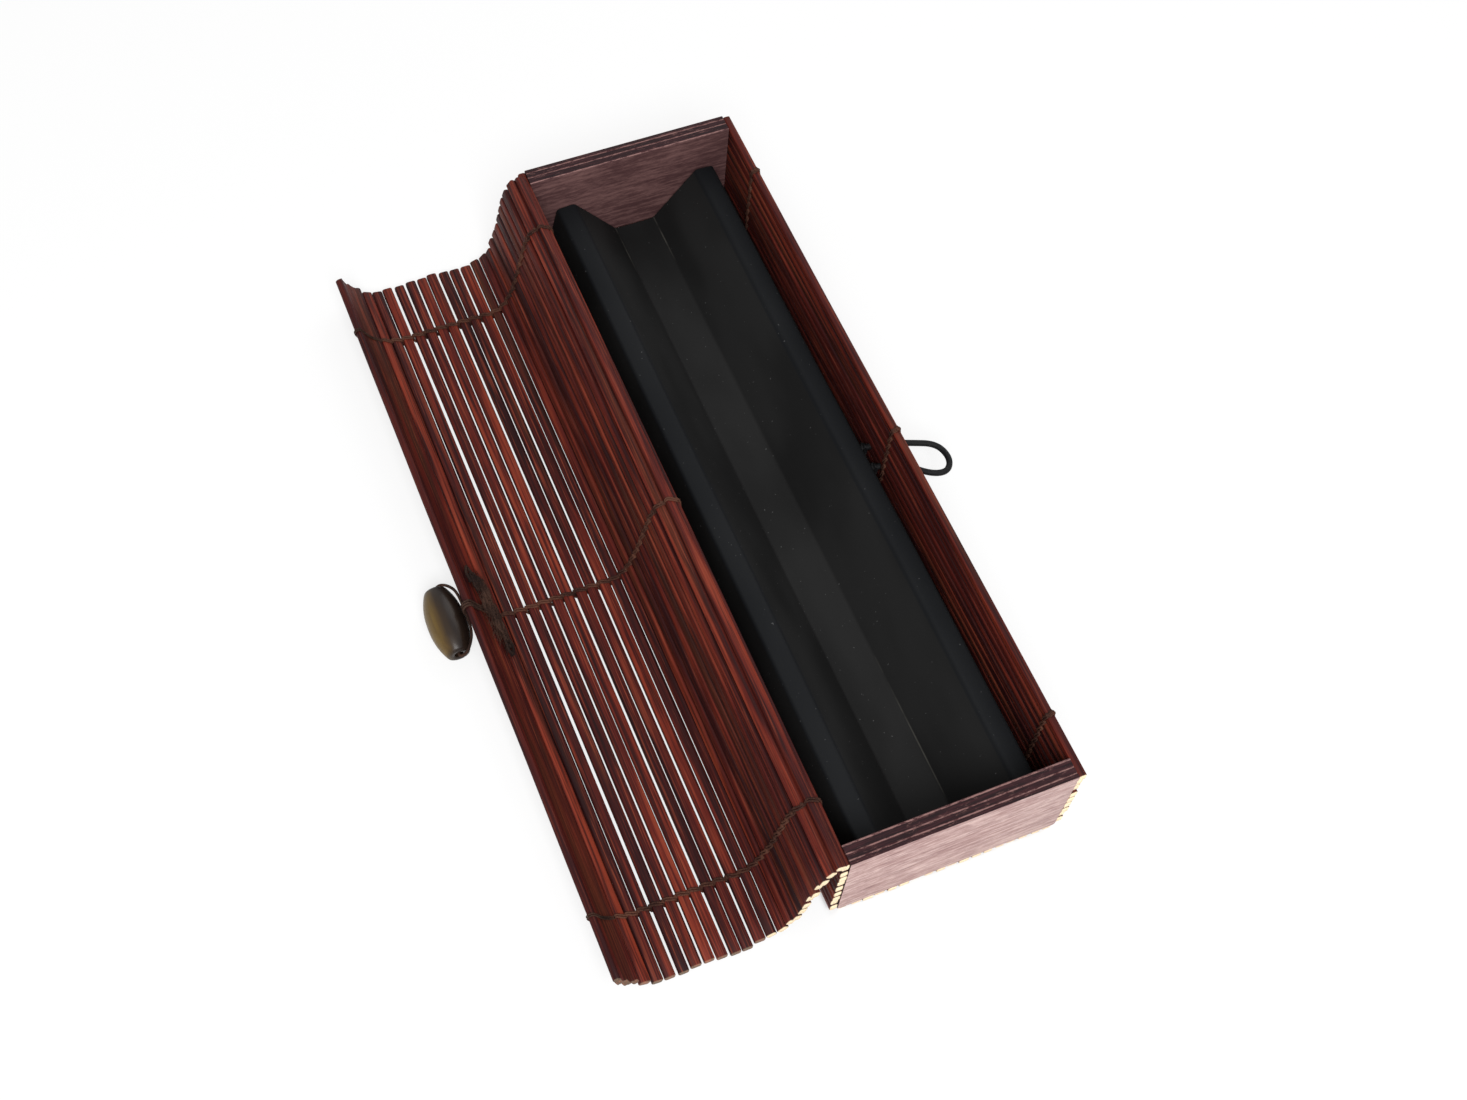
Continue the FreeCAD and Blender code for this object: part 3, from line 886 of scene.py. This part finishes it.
def makeBoard(outerY, inward):
    low, high, thickness = board["low"], board["high"], board["thickness"]
    piece = box((2 * board["half"], thickness, high - low),
                (0, outerY + inward * thickness / 2, (low + high) / 2))
    for depth in board["seams"]:
        with editing(piece, "polygons", everything):
            bpy.ops.mesh.bisect(plane_co=(0, outerY + inward * depth, 0), plane_no=(0, 1, 0))

    def atFoot(edge):
        onFoot = all(abs(spot.z - low) < 0.01 for spot in endsOf(piece, edge))
        return onFoot and abs(spanOf(piece, edge).y) > 0.1

    with editing(piece, "edges", atFoot):
        bpy.ops.mesh.bevel(offset=board["footRound"], segments=4, affect="EDGES")

    def inGroove(face):
        depth = abs(face.center.y - outerY)
        grooves = board["strips"][:board["grooves"]]
        return abs(face.normal.y) < 0.5 and any(start < depth < end for start, end in grooves)

    with editing(piece, "polygons", inGroove):
        bpy.ops.mesh.inset(thickness=board["grooveEdge"], depth=-board["groove"])
    faces = (outerY, outerY + inward * thickness)

    def isBroad(face):
        return abs(face.normal.y) > 0.9 and any(abs(face.center.y - y) < 0.01 for y in faces)

    with editing(piece, "polygons", isBroad):
        bpy.ops.mesh.bevel(offset=board["edgeRound"], segments=2, affect="EDGES")
    smooth(piece, 30)
    return piece


def boardFinish(name, outerY):
    # pale outside, browner inside, and dark edges with light strips where the plies show
    f = Finish(name)
    depth = abs(f.axis("Y") - outerY * 0.001) * 1000.0
    blur = board["stripBlur"]
    masks = [f.step(depth, low - blur, low + blur) * f.step(depth, high + blur, high - blur)
             for low, high in board["strips"]]
    grain = f.noise(f.spots((60, 1500, 900)), 4.0, 0.65)
    pores = f.noise(f.spots((140, 3000, 3000)), 3.0, 0.7)
    cloud = f.noise(f.spots((70, 70, 120)), 2.0, 0.5)
    scuff = f.noise(f.spots((420, 1500, 420)), 5.0, 0.85)
    mottle = f.noise(f.spots((330, 900, 1500)), 4.0, 0.75)
    dark = f.mix(f.step(pores, 0.4, 0.65), paint(24, 9, 13), paint(50, 23, 27))
    dark = f.mix(f.step(scuff, 0.56, 0.66, 0.0, 0.5), dark, paint(118, 84, 80))
    pale = f.mix(f.step(scuff, 0.38, 0.56), paint(60, 30, 33), paint(138, 104, 100))
    edge = f.mix(masks[0] + masks[1] + masks[2], dark, pale)
    figure = f.step(grain * 0.5 + cloud * 0.2 + mottle * 0.5, 0.42, 0.72)
    outer = f.mix(figure, paint(204, 178, 172), paint(150, 119, 116))
    outer = f.mix(f.step(pores, 0.55, 0.68, 0.0, 0.6), outer, paint(88, 60, 64))
    inner = f.mix(figure, paint(112, 82, 80), paint(70, 46, 47))
    colour = f.mix(f.step(depth, 0.12, 0.05), edge, outer)
    back = board["thickness"]
    colour = f.mix(f.step(depth, back - 0.12, back - 0.05), colour, inner)
    return f.close(Base_Color=colour, Roughness=0.5 + grain * 0.2, Specular_IOR_Level=0.15,
                   Normal=f.bump(grain + pores * 0.6, 0.5, 0.00012))


for name, (outerY, inward) in board["outer"].items():
    place(makeBoard(outerY, inward), "endBoard_" + name, "box", "end_board_" + name,
          boardFinish("stained ply, " + name, outerY))
print("boards done")


# Card cradle

cradle = {
    "line": ((-22.06, 2.92), (-19.56, 16.47), (-15.36, 16.77), (-4.2, 2.67),
             (6.2, 2.67), (17.36, 16.77), (21.56, 16.47), (24.06, 2.92)),
    "near": -85.5,
    "far": 94.2,
    "thickness": 0.5,
    "foldRound": 0.6,
    "notch": 3.0,           # the ledges stop short of the slopes at the near end
    "ledges": (1, 16.9, 16.3),  # middle, least distance from it, and least height of the ledges
    "cuts": 24,
}


def makeCradle():
    line = cradle["line"]
    piece = fresh(bpy.ops.mesh.primitive_plane_add, size=1, location=(0, 0, 0))
    for vertex in piece.data.vertices:
        x, z = line[1] if vertex.co.x > 0 else line[0]
        vertex.co = (x, cradle["near"] if vertex.co.y < 0 else cradle["far"], z)
    openX = line[1][0]

    def atOpenSide(edge):
        return all(abs(spot.x - openX) < 0.01 for spot in endsOf(piece, edge))

    with editing(piece, "edges", atOpenSide):
        for here, there in zip(line[1:], line[2:]):
            step = (there[0] - here[0], 0, there[1] - here[1])
            bpy.ops.mesh.extrude_edges_move(TRANSFORM_OT_translate={"value": step})
    feet = (line[0][0], line[-1][0])

    def isFold(edge):
        spots = endsOf(piece, edge)
        clear = all(min(abs(spot.x - foot) for foot in feet) > 0.01 for spot in spots)
        return clear and abs(spanOf(piece, edge).y) > 1

    with editing(piece, "edges", isFold):
        bpy.ops.mesh.bevel(offset=cradle["foldRound"], segments=3, affect="EDGES")
    stop = cradle["near"] + cradle["notch"]
    with editing(piece, "polygons", everything):
        bpy.ops.mesh.bisect(plane_co=(0, stop, 0), plane_no=(0, 1, 0))
    middle, away, height = cradle["ledges"]

    def isNotch(face):
        spot = face.center
        return spot.y < stop and spot.z > height and abs(spot.x - middle) > away

    with editing(piece, "polygons", isNotch):
        bpy.ops.mesh.delete(type="FACE")
    with editing(piece, "edges", lengthwise(piece, 10)):
        bpy.ops.mesh.subdivide(number_cuts=cradle["cuts"])
    for vertex in piece.data.vertices:
        spot = vertex.co
        if spot.z > 4:      # the card isn't quite flat above its floor
            spot.x += 0.1 * math.sin(spot.y / 19 + spot.z / 5)
            spot.z += 0.07 * math.sin(spot.y / 27 + 1)
    solid = piece.modifiers.new("thickness", "SOLIDIFY")
    solid.thickness = cradle["thickness"]
    solid.offset = 0
    bpy.ops.object.modifier_apply(modifier=solid.name)
    fixNormals(piece)
    smooth(piece, 30)
    return piece


def cardFinish():
    # black card with bluish ledges, worn folds at both sides of its floor and a few specks
    f = Finish("black card")
    fine = f.noise(f.spots((2600, 2600, 2600)), 3.0, 0.7)
    cloud = f.noise(f.spots((60, 25, 60)), 2.0, 0.5)
    x, y, z = f.axis("X"), f.axis("Y"), f.axis("Z")
    colour = f.mix(f.step(cloud, 0.35, 0.65), paint(17, 17, 17), paint(27, 27, 27))
    colour = f.mix(f.step(z, 0.0158, 0.0163) * 0.6, colour, paint(10, 13, 17))
    rightFold = f.step(abs(x - 0.0062), 0.0002, 0.00005) * f.step(y, -0.03, -0.07)
    farFolds = f.step(abs(abs(x - 0.001) - 0.0052), 0.0002, 0.00005) * f.step(y, 0.078, 0.086)
    low = f.step(z, 0.0040, 0.0034)
    worn = f.step(f.noise(f.spots((30, 160, 30)), 2.0, 0.6), 0.3, 0.6)
    colour = f.mix((rightFold + farFolds) * low * worn * 0.2, colour, paint(120, 118, 110))
    specks = f.step(f.noise(f.spots((1500, 1500, 1500)), 1.0), 0.77, 0.8, 0.0, 0.4)
    colour = f.mix(specks, colour, paint(110, 110, 110))
    return f.close(Base_Color=colour, Roughness=0.6 + fine * 0.15, Specular_IOR_Level=0.12,
                   Normal=f.bump(fine, 0.25, 0.00005))


place(makeCradle(), "cardCradle", "box", "card_cradle", cardFinish())
print("cradle done")


# Elastic loop

loop = {
    "radius": 0.75,
    "pivot": (28.75, 4.4, 10.65),
    "droop": 6.0,
    "legs": 2.9,            # each leg's distance from the pivot
    "line": ((0, -2.9), (3.6, -5.25), (8.1, -8.8), (12.2, -9.3), (14.35, -5.9),
             (12.9, -1.25), (7.0, 0.75), (0, 2.9)),
    "legRun": (24.3, 26.0, 28.75),
    "knotRadius": 0.55,
}


def loopFinish():
    f = Finish("black elastic cord")
    weave = f.noise(f.spots((3400, 3400, 3400)), 2.0, 0.6)
    colour = f.mix(f.step(weave, 0.4, 0.7), paint(8, 8, 9), paint(24, 24, 26))
    return f.close(Base_Color=colour, Roughness=0.6, Normal=f.bump(weave, 0.6, 0.0001),
                   Specular_IOR_Level=0.15)


def legKnot(y, z, lean):
    # one turn of the knot that holds a leg inside the wall
    return [(24.4, y - 1.1, z - 0.5 * lean), (23.6, y - 0.2, z + 0.4 * lean),
            (24.3, y + 1.0, z + 0.6 * lean), (24.9, y + 0.3, z - 0.6 * lean),
            (24.2, y - 0.9, z + 0.5 * lean), (23.7, y + 0.6, z)]


elastic = loopFinish()
hang = Matrix.Rotation(math.radians(loop["droop"]), 4, "Y")
piece = strand([(x, y, 0) for x, y in loop["line"]], loop["radius"], 14, 8)
smooth(piece, 80)
place(piece, "elasticLoop", "loop", "elastic_loop", elastic,
      toMetres @ Matrix.Translation(loop["pivot"]) @ hang)

pivotX, pivotY, pivotZ = loop["pivot"]
made = []
for side in (-1, 1):
    y = pivotY + side * loop["legs"]
    made.append(strand([(x, y, pivotZ) for x in loop["legRun"]], loop["radius"], 12, 3))
    for lean in (-1, 1):
        made.append(strand(legKnot(y, pivotZ, lean), loop["knotRadius"], 8, 4))
piece = joined(made)
smooth(piece, 80)
place(piece, "loopKnots", "box", "loop_knot", elastic)
print("loop done")


# Floor, light and camera

stage = {
    "floorSize": 6,
    "floorDrop": 0.0001,
    "floorGrey": (0.86, 0.86, 0.86, 1),
    "glow": (0.72, 1.0),        # how much of the floor's white glows, near and far
    "glowReach": (0.25, 0.8),
    "skyLevel": 0.42,
    "lamps": {
        "key": {"spot": (-0.2, -0.6, 0.8), "size": 0.5, "power": 10.5},
        "fill": {"spot": (0.5, 0.5, 0.6), "size": 0.7, "power": 2.2},
    },
    "cameraSpot": (-0.12033, -0.1975, 0.3876),
    "cameraTurn": -28.975,
    "cameraDown": 59.998,
    "cameraRoll": 7.002,
    "lens": 47.25,
}
white = (1, 1, 1, 1)


def floorFinish():
    # matt for the object's light, and glowing white for the eye, but not under the box, where the
    # glow is left out as painted shade
    f = Finish("pale floor")
    seen = f.node("LightPath", {}, {}, "Is Camera Ray")
    # painted shade: no glow over the box's footprint, so the floor there stays darker
    paintedShadeUnderBox = (f.step(abs(f.axis("X")), 0.0285, 0.0265)
             * f.step(abs(f.axis("Y") - 0.0045), 0.097, 0.094))
    away = f.node("VectorMath", {"operation": "LENGTH"}, {0: f.spots((1, 1, 1))}, "Value")
    bright = f.step(away, *stage["glowReach"], *stage["glow"])
    matt = f.node("BsdfDiffuse", {}, {"Color": stage["floorGrey"]})
    glow = f.node("Emission", {}, {"Color": white, "Strength": 1.0})
    both = f.node("MixShader", {}, {0: seen * bright * (1 - paintedShadeUnderBox), 1: matt, 2: glow})
    f.node("OutputMaterial", {}, {"Surface": both})
    return f.owner


def studioWorld():
    # an even grey light that the eye, gloss and clear things see as white
    f = Finish("soft studio", "worlds")
    eye, gloss, clear = (f.node("LightPath", {}, {}, "Is " + ray + " Ray")
                         for ray in ("Camera", "Glossy", "Transmission"))
    seen = eye.math("MAXIMUM", eye.math("MAXIMUM", eye, gloss), clear)
    level = f.step(seen, 0.0, 1.0, stage["skyLevel"], 1.0)
    f.node("OutputWorld", {}, {"Surface": f.node("Background", {}, {"Color": white,
                                                                    "Strength": level})})
    return f.owner


bpy.ops.object.select_all(action="DESELECT")
bpy.ops.mesh.primitive_plane_add(size=stage["floorSize"], location=(0, 0, -stage["floorDrop"]))
floor = bpy.context.object
floor.name = "floor"
floor.data.materials.append(floorFinish())

scene = bpy.context.scene
scene.world = studioWorld()
for name, lamp in stage["lamps"].items():
    data = bpy.data.lights.new(name, "AREA")
    data.size = lamp["size"]
    data.energy = lamp["power"]
    light = bpy.data.objects.new(name, data)
    light.location = lamp["spot"]
    light.rotation_euler = (-Vector(lamp["spot"])).to_track_quat("-Z", "Y").to_euler()
    scene.collection.objects.link(light)

camera = bpy.data.objects.new("camera", bpy.data.cameras.new("camera"))
camera.data.sensor_width = 36
camera.data.lens = stage["lens"]
camera.data.clip_start = 0.01
camera.data.clip_end = 20
camera.matrix_world = (Matrix.Translation(stage["cameraSpot"])
                       @ Matrix.Rotation(math.radians(stage["cameraTurn"]), 4, "Z")
                       @ Matrix.Rotation(math.radians(90 - stage["cameraDown"]), 4, "X")
                       @ Matrix.Rotation(math.radians(stage["cameraRoll"]), 4, "Z"))
scene.collection.objects.link(camera)
scene.camera = camera
scene.view_settings.view_transform = "Standard"
print("stage done")
